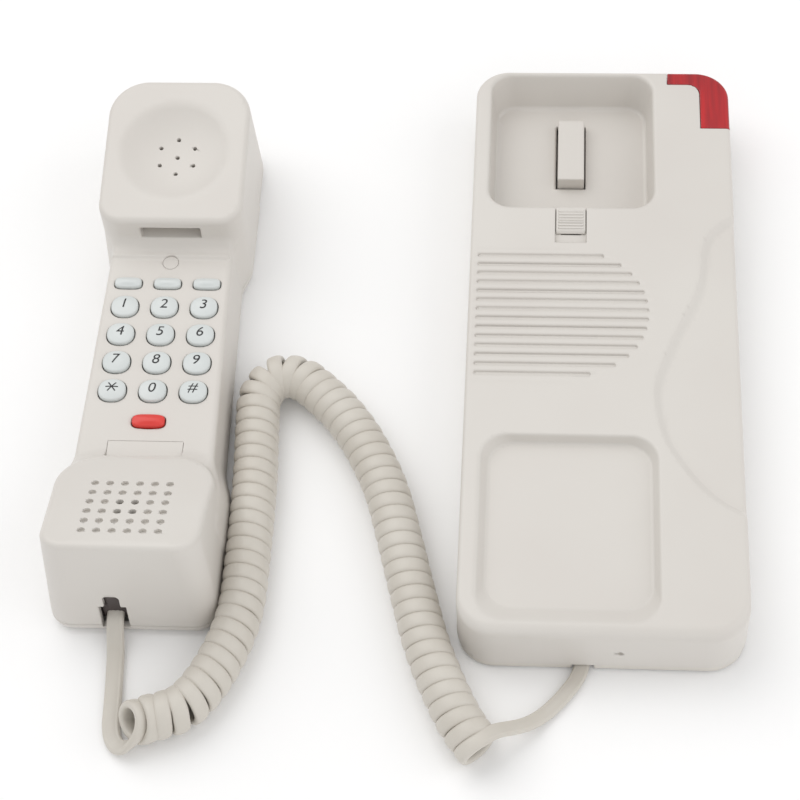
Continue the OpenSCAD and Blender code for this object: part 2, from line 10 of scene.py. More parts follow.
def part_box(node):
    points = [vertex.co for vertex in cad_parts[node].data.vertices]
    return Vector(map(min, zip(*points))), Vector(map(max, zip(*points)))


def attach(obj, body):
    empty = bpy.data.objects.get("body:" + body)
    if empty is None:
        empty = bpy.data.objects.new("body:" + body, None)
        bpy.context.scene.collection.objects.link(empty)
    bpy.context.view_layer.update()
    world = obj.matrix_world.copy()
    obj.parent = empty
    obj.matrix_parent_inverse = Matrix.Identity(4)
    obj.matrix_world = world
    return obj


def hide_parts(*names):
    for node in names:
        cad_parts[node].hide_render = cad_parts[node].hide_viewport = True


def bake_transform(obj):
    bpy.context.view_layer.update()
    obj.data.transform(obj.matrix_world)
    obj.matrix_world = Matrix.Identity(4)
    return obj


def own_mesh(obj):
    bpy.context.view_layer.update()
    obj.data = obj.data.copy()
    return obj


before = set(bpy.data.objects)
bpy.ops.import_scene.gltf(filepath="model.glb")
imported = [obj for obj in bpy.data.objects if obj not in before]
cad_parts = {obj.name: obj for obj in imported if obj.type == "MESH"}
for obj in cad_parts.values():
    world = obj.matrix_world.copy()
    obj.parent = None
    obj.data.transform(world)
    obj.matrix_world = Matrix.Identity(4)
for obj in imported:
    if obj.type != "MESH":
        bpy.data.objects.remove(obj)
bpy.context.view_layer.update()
MM = 0.001

# ---- Camera ----

CAMERA_PLACE = (0.04066, -0.36339, 0.53545)
CAMERA_YAW = math.radians(7.1)
CAMERA_DROP = math.radians(56.585)
CAMERA_ROLL = math.radians(-4.944)
CAMERA_LENS = 93.64


def make_camera():
    data = bpy.data.cameras.new("camera")
    data.lens = CAMERA_LENS
    data.sensor_width = 36
    data.clip_end = 10
    camera = bpy.data.objects.new("camera", data)
    bpy.context.scene.collection.objects.link(camera)
    ahead = Vector((-math.sin(CAMERA_YAW) * math.cos(CAMERA_DROP),
                    math.cos(CAMERA_YAW) * math.cos(CAMERA_DROP),
                    -math.sin(CAMERA_DROP)))
    level = Vector((math.cos(CAMERA_YAW), math.sin(CAMERA_YAW), 0))
    rise = level.cross(ahead)
    across = level * math.cos(CAMERA_ROLL) + rise * math.sin(CAMERA_ROLL)
    above = -level * math.sin(CAMERA_ROLL) + rise * math.cos(CAMERA_ROLL)
    turn = Matrix((across, above, -ahead)).transposed().to_4x4()
    camera.matrix_world = Matrix.Translation(CAMERA_PLACE) @ turn
    bpy.context.scene.camera = camera


make_camera()

# ---- Mesh and curve helpers ----


def new_object(name, points, faces, normals=None):
    """A smooth-shaded mesh object; points are in metres in the row frame."""
    mesh = bpy.data.meshes.new(name)
    mesh.from_pydata([tuple(p) for p in points], [], faces)
    mesh.shade_smooth()
    if normals is not None:
        mesh.normals_split_custom_set_from_vertices([tuple(n) for n in normals])
    piece = bpy.data.objects.new(name, mesh)
    bpy.context.scene.collection.objects.link(piece)
    return piece


def tube_faces(n, sides):
    """Faces of a closed tube of n rings, each with that many points."""
    faces = [(i * sides + k, i * sides + (k + 1) % sides,
              (i + 1) * sides + (k + 1) % sides, (i + 1) * sides + k)
             for i in range(n - 1) for k in range(sides)]
    return faces + [tuple(range(sides - 1, -1, -1)), tuple((n - 1) * sides + k for k in range(sides))]


def slope_of(field, p, reach=0.04):
    """Gradient of a field at the points p, by central differences."""
    g = np.empty_like(p)
    for k in range(3):
        step = np.zeros(3)
        step[k] = reach
        ahead = field(*(p + step).T)
        behind = field(*(p - step).T)
        g[:, k] = (ahead - behind) / (2 * reach)
    return g


def mould(name, field, low, high, step, origin, flatness=0.03):
    """Meshes the inside (negative side) of a field of x, y and z in millimetres from origin."""
    low = np.array(low, float)
    axes = [np.arange(a, b + step, step, dtype=np.float32) for a, b in zip(low, high)]
    x = axes[0][:, None, None]
    y = axes[1][None, :, None]
    z = axes[2][None, None, :]
    shape = [len(a) for a in axes]
    values = np.broadcast_to(field(x, y, z), shape) / step
    grid = openvdb.FloatGrid(background=3.0)
    grid.copyFromArray(np.ascontiguousarray(np.clip(values, -3, 3), dtype=np.float32))
    points, triangles, quads = grid.convertToPolygons(isovalue=0.0, adaptivity=flatness)
    p = points.astype(float) * step + low
    for _ in range(2):
        d = field(*p.T)
        g = slope_of(field, p)
        pull = (d / np.maximum((g * g).sum(1), 0.2))[:, None] * g
        length = np.linalg.norm(pull, axis=1, keepdims=True)
        p -= pull * np.minimum(1, 0.4 * step / np.maximum(length, 1e-9))
    n = slope_of(field, p)
    n /= np.maximum(np.linalg.norm(n, axis=1, keepdims=True), 1e-9)
    faces = [tuple(int(i) for i in f) for f in triangles] + [tuple(int(i) for i in f) for f in quads]
    return new_object(name, (p + np.array(origin)) * MM, faces, n)


def rounded_box(x, y, half_x, half_y, r):
    """Signed distance to a rounded rectangle."""
    qx = np.abs(x) - half_x + r
    qy = np.abs(y) - half_y + r
    return np.hypot(np.maximum(qx, 0), np.maximum(qy, 0)) + np.minimum(np.maximum(qx, qy), 0) - r


def meet(a, b, r):
    """Intersection whose edge is rounded with radius r."""
    return np.minimum(-r, np.maximum(a, b)) + np.hypot(np.maximum(r + a, 0), np.maximum(r + b, 0))


def join(a, b, r):
    """Union with a fillet of radius r."""
    return np.maximum(r, np.minimum(a, b)) - np.hypot(np.maximum(r - a, 0), np.maximum(r - b, 0))


def cut(a, b, r):
    """a less b, with the new edge rounded with radius r."""
    return meet(a, -b, r)


def oval(x, y, width, length, power):
    """A superellipse of that width and length, negative inside."""
    a = np.abs(x) / (width / 2)
    b = np.abs(y) / (length / 2)
    return ((a ** power + b ** power) ** (1 / power) - 1) * min(width, length) / 2


def ease(t):
    """Smooth step from 0 to 1."""
    t = np.clip(t, 0, 1)
    return t * t * (3 - 2 * t)


def smooth(route, steps):
    """Points along the smooth curve through a route, steps to a span."""
    p = np.array(route, float)
    out = []
    for i in range(len(p) - 1):
        a, b, c, d = p[max(i - 1, 0)], p[i], p[i + 1], p[min(i + 2, len(p) - 1)]
        for k in range(steps):
            t = k / steps
            out.append(0.5 * (2 * b + (c - a) * t + (2 * a - 5 * b + 4 * c - d) * t * t
                              + (3 * b - a - 3 * c + d) * t ** 3))
    return np.array(out + [p[-1]])


def evenly(p, spacing):
    """Points spaced evenly along the polyline p."""
    run = np.concatenate([[0], np.cumsum(np.linalg.norm(np.diff(p, axis=0), axis=1))])
    at = np.linspace(0, run[-1], max(2, int(round(run[-1] / spacing)) + 1))
    return np.stack([np.interp(at, run, p[:, k]) for k in range(3)], 1)


def unit(v):
    """Vectors of length 1 along the last axis."""
    return v / np.maximum(np.linalg.norm(v, axis=-1, keepdims=True), 1e-12)


# ---- Materials ----


def plastic(name, dark, light, patch, rough, grain, depth, **shader):
    """Moulded plastic: colour patches, uneven gloss and a fine surface grain. Sizes in metres."""
    material = bpy.data.materials.new(name)
    material.use_nodes = True
    nodes = material.node_tree.nodes
    links = material.node_tree.links
    bsdf = nodes["Principled BSDF"]
    place = nodes.new("ShaderNodeTexCoord")
    broad = nodes.new("ShaderNodeTexNoise")
    broad.inputs["Scale"].default_value = 1 / patch
    broad.inputs["Detail"].default_value = 3
    links.new(place.outputs["Object"], broad.inputs["Vector"])
    ramp = nodes.new("ShaderNodeValToRGB")
    ramp.color_ramp.elements[0].position = 0.3
    ramp.color_ramp.elements[0].color = (*dark, 1)
    ramp.color_ramp.elements[1].position = 0.7
    ramp.color_ramp.elements[1].color = (*light, 1)
    links.new(broad.outputs["Fac"], ramp.inputs["Fac"])
    links.new(ramp.outputs["Color"], bsdf.inputs["Base Color"])
    fine = nodes.new("ShaderNodeTexNoise")
    fine.inputs["Scale"].default_value = 1 / grain
    fine.inputs["Detail"].default_value = 2
    links.new(place.outputs["Object"], fine.inputs["Vector"])
    gloss = nodes.new("ShaderNodeMapRange")
    gloss.inputs["To Min"].default_value = rough[0]
    gloss.inputs["To Max"].default_value = rough[1]
    links.new(broad.outputs["Fac"], gloss.inputs["Value"])
    links.new(gloss.outputs["Result"], bsdf.inputs["Roughness"])
    bump = nodes.new("ShaderNodeBump")
    bump.inputs["Strength"].default_value = 0.6
    bump.inputs["Distance"].default_value = depth
    links.new(fine.outputs["Fac"], bump.inputs["Height"])
    links.new(bump.outputs["Normal"], bsdf.inputs["Normal"])
    for socket, value in shader.items():
        bsdf.inputs[socket.replace("_", " ")].default_value = value
    return material


def painted_rib_shading(material, stretch):
    """Stretches a material's colour patches into streaks of painted light and shade, which stand for light
    passing through the ribs inside a lens.
    """
    nodes = material.node_tree.nodes
    links = material.node_tree.links
    pull = nodes.new("ShaderNodeMapping")
    pull.inputs["Scale"].default_value = stretch
    links.new(nodes["Texture Coordinate"].outputs["Object"], pull.inputs["Vector"])
    links.new(pull.outputs["Vector"], nodes["Noise Texture"].inputs["Vector"])


def shade(red, green, blue):
    """Linear colour from 0-255 display values."""
    out = []
    for c in (red / 255, green / 255, blue / 255):
        out.append(c / 12.92 if c < 0.04045 else ((c + 0.055) / 1.055) ** 2.4)
    return tuple(out)


SHELL = plastic("shell_plastic", shade(211, 206, 200), shade(215, 211, 205), 0.05, (0.34, 0.44),
                0.0006, 0.000008)
PLATE = plastic("plate_plastic", shade(212, 207, 199), shade(219, 214, 206), 0.03, (0.42, 0.55),
                0.0005, 0.00003)
KEY = plastic("key_plastic", shade(207, 212, 211), shade(214, 218, 217), 0.01, (0.28, 0.38),
              0.0004, 0.000008)
ALARM = plastic("alarm_plastic", shade(216, 58, 52), shade(224, 66, 58), 0.01, (0.26, 0.36),
                0.0004, 0.000008)
INK = plastic("ink", shade(28, 28, 30), shade(44, 44, 46), 0.003, (0.45, 0.6), 0.0003, 0.000006)
# Painted light and shade: the lens's own colour is red. The wide spread between its dark and light reds,
# stretched into streaks just below, stands for light passing through the ribs inside it.
LENS = plastic("lens_plastic", shade(160, 44, 50), shade(216, 48, 52), 0.0022, (0.10, 0.18),
               0.0010, 0.000006, Transmission_Weight=0.25, IOR=1.49)
painted_rib_shading(LENS, (1, 0.07, 0.2))
CORD = plastic("cord_vinyl", shade(201, 195, 185), shade(208, 203, 194), 0.02, (0.36, 0.48),
               0.0005, 0.00002)
DARK = plastic("dark_plastic", shade(58, 50, 50), shade(72, 63, 62), 0.006, (0.4, 0.55),
               0.0004, 0.00002)
CLEAR = plastic("plug_plastic", shade(196, 194, 186), shade(212, 210, 203), 0.004, (0.12, 0.2),
                0.0006, 0.000006, Transmission_Weight=0.5, IOR=1.5)
STEEL = plastic("steel", shade(150, 152, 156), shade(182, 184, 188), 0.004, (0.25, 0.42),
                0.0003, 0.00001, Metallic=1.0)
BALLAST = plastic("ballast_metal", shade(110, 110, 114), shade(136, 136, 140), 0.006, (0.5, 0.7),
                  0.0006, 0.00004, Metallic=1.0)
BOARD = plastic("board_laminate", shade(24, 84, 46), shade(38, 104, 58), 0.004, (0.3, 0.5),
                0.0004, 0.00002)
RUBBER = plastic("foot_rubber", shade(128, 126, 122), shade(146, 144, 139), 0.004, (0.7, 0.85),
                 0.0003, 0.00004)
MEMBRANE = plastic("membrane_rubber", shade(190, 190, 186), shade(206, 206, 202), 0.006,
                   (0.55, 0.7), 0.0004, 0.00002)
LAMP = plastic("lamp_resin", shade(226, 222, 210), shade(238, 234, 224), 0.002, (0.1, 0.2),
               0.0004, 0.000004, Transmission_Weight=0.4)


def finish_piece(piece, material, body, nodes):
    """Dresses a piece, sets the body that it rides on and hides the CAD nodes that it stands for."""
    piece.data.materials.append(material)
    if body:
        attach(piece, body)
    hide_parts(*nodes)


# ---- Cord: flat lead, curly part, flat lead ----

# The three routes are in metres in the row frame. Every other length is in millimetres.
LEAD_W = 4.7
LEAD_T = 2.6
LEAD_SPREAD = (5.1, 4.7, 4.4)
LEAD_SIDES = 32
LEAD_SPACING = 0.8
RIB_PITCH = 1.15
RIB_DEPTH = 0.24
COIL_R = 5.45
COIL_PITCH = 4.55
POINTS_PER_TURN = 26
LEAD_FROM_HANDSET = [
    (-0.0802, -0.088, 0.0078), (-0.0802, -0.091, 0.0076), (-0.0803, -0.0945, 0.0064),
    (-0.0802, -0.098, 0.0041), (-0.0799, -0.1024, 0.0020), (-0.0795, -0.1082, 0.0015),
    (-0.0791, -0.1142, 0.0015), (-0.0788, -0.1197, 0.0015), (-0.0785, -0.1247, 0.0015),
    (-0.0774, -0.1289, 0.0016), (-0.0753, -0.1316, 0.0021), (-0.0727, -0.1326, 0.0038)]
COIL_ROUTE = [
    (-0.0724, -0.1268, 0.0068), (-0.0665, -0.1245, 0.0068), (-0.0575, -0.1205, 0.0068),
    (-0.05, -0.109, 0.0068), (-0.0448, -0.092, 0.0068), (-0.044, -0.071, 0.0068),
    (-0.0442, -0.047, 0.0068), (-0.0452, -0.028, 0.0068), (-0.0452, -0.017, 0.0068),
    (-0.0405, -0.0102, 0.0072), (-0.033, -0.0106, 0.0072), (-0.0262, -0.0158, 0.0068),
    (-0.019, -0.0235, 0.0068), (-0.012, -0.034, 0.0068), (-0.005, -0.049, 0.0068),
    (0, -0.066, 0.0068), (0.0044, -0.0825, 0.0068), (0.0088, -0.098, 0.0068),
    (0.0136, -0.1105, 0.0068), (0.0196, -0.1228, 0.0068), (0.0252, -0.1308, 0.0068)]
LEAD_TO_BASE = [
    (0.0286, -0.1276, 0.0112), (0.032, -0.1258, 0.0089), (0.0354, -0.1238, 0.0062),
    (0.0388, -0.1214, 0.0037), (0.0424, -0.1182, 0.0019), (0.0458, -0.1147, 0.0015),
    (0.0491, -0.1106, 0.0015), (0.0517, -0.1066, 0.0015), (0.0531, -0.1026, 0.0015),
    (0.0535, -0.098, 0.0020), (0.0535, -0.0942, 0.0034)]
FIRST_TURN_AXIS = (0.62, 0.45, -0.64)
TURN_SETTLES = 12
LINE_SOFTENING = (5, 6)
WIDTH_SOFTENING = (9, 14)


def curly_part():
    """The helix round the coil's route, and the outward direction at each of its points."""
    axis = evenly(smooth(COIL_ROUTE, 10) / MM, 0.3)
    length = np.linalg.norm(np.diff(axis, axis=0), axis=1).sum()
    turns = round(length / COIL_PITCH) + 0.25
    n = int(turns * POINTS_PER_TURN)
    at = np.linspace(0, length, n)
    run = np.linspace(0, length, len(axis))
    centre = np.stack([np.interp(at, run, axis[:, k]) for k in range(3)], 1)
    ahead = unit(np.gradient(centre, axis=0))
    lean = 1 - ease(at / TURN_SETTLES)[:, None]
    ahead = unit(ahead * (1 - lean) + np.array(FIRST_TURN_AXIS) * lean)
    side = unit(np.cross(ahead, (0, 0, 1)))
    above = np.cross(side, ahead)
    angle = np.linspace(0, 2 * math.pi * turns, n)[:, None]
    out = np.cos(angle) * side + np.sin(angle) * above
    return centre + COIL_R * out, out


def soften(values, joint, reach, rounds):
    """Averages neighbours for a few places on each side of a joint in a list of vectors."""
    start, end = joint - reach, joint + reach
    for _ in range(rounds):
        mid = values[start:end]
        values[start:end] = 0.25 * values[start - 1:end - 1] + 0.5 * mid + 0.25 * values[start + 1:end + 1]


def cord_line():
    """The whole cord's centreline, its direction, that of its width, and which part each point is in."""
    first = evenly(smooth(LEAD_FROM_HANDSET, 6) / MM, LEAD_SPACING)
    coil, out = curly_part()
    last = evenly(smooth(LEAD_TO_BASE, 6) / MM, LEAD_SPACING)
    line = np.concatenate([first, coil, last])
    ahead = unit(np.gradient(line, axis=0))
    wide = np.cross(ahead, (0, 0, 1))
    n1, n2 = len(first), len(first) + len(coil)
    wide[n1:n2] = np.cross(ahead[n1:n2], out)
    wide = unit(wide)
    for i in range(1, len(wide)):
        if wide[i] @ wide[i - 1] < 0:
            wide[i] *= -1
    for joint in (n1, n2):
        soften(line, joint, *LINE_SOFTENING)
        soften(wide, joint, *WIDTH_SOFTENING)
    ahead = unit(np.gradient(line, axis=0))
    wide = unit(wide - (wide * ahead).sum(1, keepdims=True) * ahead)
    part = np.array([0] * n1 + [1] * (n2 - n1) + [2] * (len(line) - n2))
    return line, ahead, wide, part


def make_cord():
    """The lead as one ribbed, rounded flat strip along its line, and that line in metres."""
    line, ahead, wide, part = cord_line()
    thick = np.cross(ahead, wide)
    around = np.linspace(0, 2 * math.pi, LEAD_SIDES, endpoint=False)
    u = np.sign(np.cos(around)) * np.abs(np.cos(around)) ** 0.75 * LEAD_W / 2
    v = np.sign(np.sin(around)) * np.abs(np.sin(around)) ** 0.8 * LEAD_T / 2
    rib = RIB_DEPTH * (0.5 + 0.5 * np.cos(2 * math.pi * u / RIB_PITCH))
    v = v[None, :] * (1 - rib[None, :] * np.where(part == 1, 0.1, 1)[:, None])
    spread = np.array(LEAD_SPREAD)[part] / LEAD_W
    spread = np.convolve(np.pad(spread, 12, mode="edge"), np.ones(25) / 25, mode="valid")
    u = u[None, :, None] * spread[:, None, None]
    rings = line[:, None, :] + wide[:, None, :] * u + thick[:, None, :] * v[:, :, None]
    faces = tube_faces(len(rings), LEAD_SIDES)
    cord = new_object("curly_cord", rings.reshape(-1, 3) * MM, faces)
    return cord, line * MM


# ---- Base ----

# Lengths are in millimetres from BASE_ORIGIN, which is at the middle of the base's front edge.
# PANEL_EDGE holds pairs of y and x. A rim or a sink is left, right, front and back.
base_low, base_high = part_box("base_front_shell")
BASE_ORIGIN = ((base_low.x + base_high.x) / 2 / MM, base_low.y / MM, 0)
BASE_W = (base_high.x - base_low.x) / MM
BASE_L = (base_high.y - base_low.y) / MM
BASE_H = base_high.z / MM
SHELL_FOOT = base_low.z / MM
WALL = 2.2
CRADLE_X = -9.8
EAR_FLOOR = 9
MOUTH_FLOOR = 18.4
EAR_RIM = (-35.8, 16.2, 149.4, 204.4)
EAR_SINK = (-34.3, 14.7, 150.6, 201.2)
MOUTH_RIM = (-35.5, 16.1, 3.9, 64.8)
MOUTH_SINK = (-33.2, 14.4, 9.4, 63.9)
BASE_CORNER = 11
BASE_DRAFT = 0.012
PANEL_DROP = 1.8
PANEL_SLOPE = 2.3
PANEL_EDGE = np.array([
    (36.5, 45), (38.5, 38.5), (41.8, 33), (45.9, 28.9), (50, 25.3), (54.8, 22.3), (62.8, 17.6),
    (73.5, 15.2), (81.9, 14.7), (88, 16.3), (96, 19.2), (103.7, 22.2), (114.9, 27.3),
    (120.5, 29.1), (125.9, 29.7), (133.6, 30.2), (139.1, 31.8), (143, 34.6), (145.8, 38.5),
    (147.4, 42), (149, 47)])
GROOVES = 14
GROOVE_PITCH = 3.37
GROOVE_TOP = 130.1
GROOVE_LEFT = -38.3
GROOVE_DEPTH = 0.85
GROOVE_HALF = 0.52
RIDGE_RISE = 0.28
ARC_X, ARC_Y, ARC_R = -9.4, 108.9, 23.3
LENS_FROM_X = 21.1
LENS_BACK_Y = 200.5
LENS_SIDE_X = 31.4
LENS_END_Y = 182
LENS_FOOT = 12.1
LENS_GAP = 0.12
CHANNEL_Y = 143
CHANNEL_HALF = (4.85, 7.7)
CHANNEL_FLOOR = 20.5
TAB_Y = 143.8
TAB_HALF = (4.6, 5.4)
TAB_FOOT = 20.7
TAB_TOP = 21.85
TAB_RIBS = 7
TAB_RIB_PITCH = 1.1
TAB_LEG_Y = 142.2
TAB_LEG_HALF = (2.7, 1.5)
UNDER_TAB_Y = 143.15
UNDER_TAB_HALF = (3.1, 3.65)
PADDLE_Y = 180
PADDLE_HALF = (4.25, 12.7)
PADDLE_SLOT_HALF = (4.75, 13.15)
PADDLE_TOP = 13.4
PADDLE_FOOT = 6.2
HOLLOW_HALF = (3.1, 9.5)
HOLLOW_TOP = 11.5
CORD_WAY_X = -5
DIMPLE_X = 5.2
DIMPLE_Z = 10.3


def panel_edge(y):
    """Where the lowered panel starts, and how steeply that edge runs, at y along the base."""
    dense = np.linspace(PANEL_EDGE[0, 0], PANEL_EDGE[-1, 0], 240)
    padded = np.interp(dense, PANEL_EDGE[:, 0], PANEL_EDGE[:, 1])
    for _ in range(60):
        padded[1:-1] = 0.25 * padded[:-2] + 0.5 * padded[1:-1] + 0.25 * padded[2:]
    steep = np.gradient(padded, dense)
    x = np.interp(y, dense, padded)
    return np.where((y < dense[0]) | (y > dense[-1]), 60, x), np.interp(y, dense, steep)


def base_top(x, y):
    """Height of the base's top, which steps down to the panel over a soft slope."""
    edge, steep = panel_edge(y)
    off = (x - edge) / np.hypot(1, steep)
    start = np.hypot(off, 0.25) + off
    end = np.hypot(off - PANEL_SLOPE, 0.4) + off - PANEL_SLOPE
    return BASE_H - PANEL_DROP * np.clip((start - end) / 2 / PANEL_SLOPE, 0, 1)


def base_plan(x, y, z):
    """Outline of the base, which narrows slightly from its foot up."""
    draft = BASE_DRAFT * (z - SHELL_FOOT)
    return rounded_box(x, y - BASE_L / 2, BASE_W / 2, BASE_L / 2, BASE_CORNER) + draft


def base_body(x, y, z):
    """The base without its recesses; its top edge is rounder at the front."""
    r = 1.3 + 1.9 * ease((14 - y) / 12)
    return meet(base_plan(x, y, z), z - base_top(x, y), r)


def pocket(x, y, z, rim, floor, sink, r, bottom):
    """A drafted recess, from its outline at the rim to the one at its floor."""
    t = np.maximum(BASE_H - z, -1) / (BASE_H - floor)
    left, right, front, back = (a + (b - a) * t for a, b in zip(rim, sink))
    side = rounded_box(x - (left + right) / 2, y - (front + back) / 2,
                       (right - left) / 2, (back - front) / 2, r)
    return meet(side, floor - z, bottom)


def grooves(x, y, z):
    """Level grooves over the ringer, which end on an arc at the right."""
    i = np.clip(np.round((GROOVE_TOP - y) / GROOVE_PITCH), 0, GROOVES - 1)
    at = GROOVE_TOP - i * GROOVE_PITCH
    right = ARC_X + np.sqrt(np.maximum(ARC_R ** 2 - (at - ARC_Y) ** 2, 1))
    mid = (GROOVE_LEFT + right) / 2
    half = (right - GROOVE_LEFT) / 2
    off = np.hypot(np.maximum(np.abs(x - mid) - half + 0.5, 0), y - at)
    depth = z - (BASE_H - GROOVE_DEPTH)
    return np.maximum(off - GROOVE_HALF - 0.25 * np.clip(depth, 0, 1), -depth)


def ridge_swell(x, y):
    """The ridges between the grooves stand slightly convex."""
    t = (GROOVE_TOP - y) / GROOVE_PITCH
    inside = ease((t + 1) * 2) * ease((GROOVES - t) * 2)
    reach = ARC_X + np.sqrt(np.maximum(ARC_R ** 2 - (y - ARC_Y) ** 2, 0)) + 2
    inside = inside * ease((reach - x) / 3) * ease((x + 40.6) / 3)
    return RIDGE_RISE * inside * (0.5 + 0.5 * np.cos(2 * math.pi * t))


def lens_area(x, y, grow):
    """The L-shaped corner of the base that the lamp lens takes up."""
    back = np.maximum(LENS_FROM_X - grow - x, LENS_BACK_Y - grow - y)
    side = np.maximum(LENS_SIDE_X - grow - x, LENS_END_Y - grow - y)
    return join(back, side, 4)


def slot(x, y, half_x, half_y):
    """A square-cornered rectangle, negative inside."""
    return np.maximum(np.abs(x) - half_x, np.abs(y) - half_y)


def base_shell_field(x, y, z):
    """The base's front shell: cradles, grooves, openings and a hollow inside."""
    solid = base_body(x, y, z + ridge_swell(x, y))
    solid = cut(solid, pocket(x, y, z, EAR_RIM, EAR_FLOOR, EAR_SINK, 7, 1), 1.1)
    solid = cut(solid, pocket(x, y, z, MOUTH_RIM, MOUTH_FLOOR, MOUTH_SINK, 8, 0.5), 0.6)
    solid = cut(solid, grooves(x, y, z), 0.25)
    channel = np.maximum(slot(x - CRADLE_X, y - CHANNEL_Y, *CHANNEL_HALF), CHANNEL_FLOOR - z)
    solid = cut(solid, channel, 0.25)
    shell = np.maximum(solid, -(solid + WALL))
    shell = np.maximum(shell, SHELL_FOOT - z)
    paddle = np.maximum(slot(x - CRADLE_X, y - PADDLE_Y, *PADDLE_SLOT_HALF), z - 14)
    shell = cut(shell, paddle, 0.15)
    under_tab = slot(x - CRADLE_X, y - UNDER_TAB_Y, *UNDER_TAB_HALF)
    shell = np.maximum(shell, -np.maximum(under_tab, np.abs(z - 22) - 6))
    lens = np.maximum(lens_area(x, y, LENS_GAP), LENS_FOOT - LENS_GAP - z)
    shell = np.maximum(shell, -lens)
    cord_way = np.maximum(slot(x - CORD_WAY_X, y - 5.9, 3.2, 3.8), z - 5)
    shell = cut(shell, cord_way, 0.2)
    dimple = np.maximum(np.hypot(x - DIMPLE_X, z - DIMPLE_Z) - 0.8, np.abs(y) - 1.1)
    return cut(shell, dimple, 0.15)


def lens_field(x, y, z):
    """The lamp lens, as thick as the shell, with shallow ribs on its inner face."""
    body = base_body(x, y, z) + 0.05
    ribs = 0.25 * np.cos(2 * math.pi * x / 1.5)
    sheet = np.maximum(body, -(body + WALL + ribs))
    return meet(sheet, np.maximum(lens_area(x, y, -0.06), LENS_FOOT - z), 0.25)


def retainer_field(x, y, z):
    """Ribbed tab that slides along the base, with a sloping front end and a leg under it."""
    x = x - CRADLE_X
    block = meet(rounded_box(x, y - TAB_Y, *TAB_HALF, 0.5), z - TAB_TOP, 0.45)
    leg = np.maximum(slot(x, y - TAB_LEG_Y, *TAB_LEG_HALF), 19.2 - z)
    block = np.maximum(block, np.minimum(TAB_FOOT - z, leg))
    slope = (z - 21.9 - (y - 140.2) * 1.1) * 0.67
    block = meet(block, slope, 0.4)
    t = (y - 140.9) / TAB_RIB_PITCH
    rib = np.abs(t - np.clip(np.round(t), 0, TAB_RIBS - 1)) * TAB_RIB_PITCH
    raised = np.maximum(np.maximum(rib - 0.3, np.abs(x) - 3.9), np.abs(z - 21.6) - 0.55)
    return join(block, raised, 0.18)


def paddle_field(x, y, z):
    """The hook paddle: upright front end, level top, a sloping back end and room for its spring."""
    x = x - CRADLE_X
    y = y - PADDLE_Y
    body = meet(slot(x, y, *PADDLE_HALF), z - PADDLE_TOP, 0.45)
    back = (z - PADDLE_TOP + (y - 12.3) * 3) * 0.316
    body = meet(body, back, 0.7)
    hollow = np.maximum(slot(x, y, *HOLLOW_HALF), z - HOLLOW_TOP)
    return np.maximum(np.maximum(body, -hollow), PADDLE_FOOT - z)


# ---- Handset ----

# Lengths are in millimetres from HAND_ORIGIN, which is at the middle of the handset's mouth end.
hand_low, hand_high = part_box("handset_front_shell")
HANDSET_L = 182.4
HAND_ORIGIN = ((hand_low.x + hand_high.x) / 2 / MM, hand_high.y / MM - HANDSET_L, 0)
PART_Z = 4.5
GRIP_TOP = 21
EAR_PLACE = (0, 151.0, 36.7)
EAR_TILT = math.radians(9.4)
MOUTH_PLACE = (0, 23, 34.2)
MOUTH_TILT = math.radians(-22)
CUP_D = 34.8
CUP_DEPTH = 4.8
EAR_HOLE_R = 0.62
EAR_HOLE_RING = 6.2
MIC_HOLE_R = 1.05
MIC_HOLE_PITCH = 4.33
MIC_BLIND_DEPTH = 1.15
MIC_THROUGH_DEPTH = 9.0
CATCH_Y = 127
CATCH_Z = 26.8
CATCH_HALF_H = 2.3
SEAM = 0.35
JACK_X = -4.7
JACK_HALF_W = 3.95
COLUMN = 12.25
ROW = 10.3
KEY_0_Y = 70.5
FUNCTION_Y = 110.4
ALARM_Y = 59.8
LABEL_Y = 49.7
LABEL_HALF = (11.28, 3.32)
COVER_Y = 118.7
KEY_GAP = 0.56


def on_face(y, z, place, tilt):
    """Distance along and above a tilted face."""
    dy, dz = y - place[1], z - place[2]
    return dy * math.cos(tilt) + dz * math.sin(tilt), dz * math.cos(tilt) - dy * math.sin(tilt)


def grip_body(x, y, z):
    """The grip between the two blocks, with the keypad's level face on top."""
    half = np.clip(19 + (120 - y) * 0.022, 18.9, 20.6) + (GRIP_TOP - z) * 0.09
    side = meet(np.abs(x) - half, z - GRIP_TOP, 1.4)
    return np.maximum(side, np.abs(y - 90) - 62)


def block_side(x, y, half, front, back):
    """Outline of an end block, whose far corners are rounder than its near ones."""
    mid = (front + back) / 2
    corner = 7 + 5.5 * ease((y - mid) / 10 + 0.5)
    return rounded_box(x, y - mid, half, (back - front) / 2, corner)


def mouth_body(x, y, z):
    """The block at the mouth end, whose face slopes down towards the keypad."""
    half = 24.7 - 0.065 * (z - PART_Z)
    front = 0.4 + 0.16 * (z - PART_Z)
    back = 45.6 + 0.25 * np.maximum(24 - z, 0)
    top = on_face(y, z, MOUTH_PLACE, MOUTH_TILT)[1]
    return meet(block_side(x, y, half, front, back), top, 1.9)


def ear_body(x, y, z):
    """The block at the ear end, whose face rises away from the keypad."""
    half = 22.75 - 0.004 * (z - PART_Z)
    front = 125.9 - 0.22 * np.maximum(GRIP_TOP - z, 0)
    back = 182.3 - 0.165 * (z - PART_Z)
    top = on_face(y, z, EAR_PLACE, EAR_TILT)[1]
    return meet(block_side(x, y, half, front, back), top, 1.8)


def shelf(x, y, z):
    """Slightly raised step between the keypad's face and the ear block."""
    side = np.maximum(np.abs(x) - 18.5, 120.6 - y)
    return meet(np.maximum(side, y - 140), z - GRIP_TOP - 0.7, 0.65)


def handset_body(x, y, z):
    body = join(grip_body(x, y, z), mouth_body(x, y, z), 5)
    body = join(body, shelf(x, y, z), 0.8)
    return join(body, ear_body(x, y, z), 4.2)


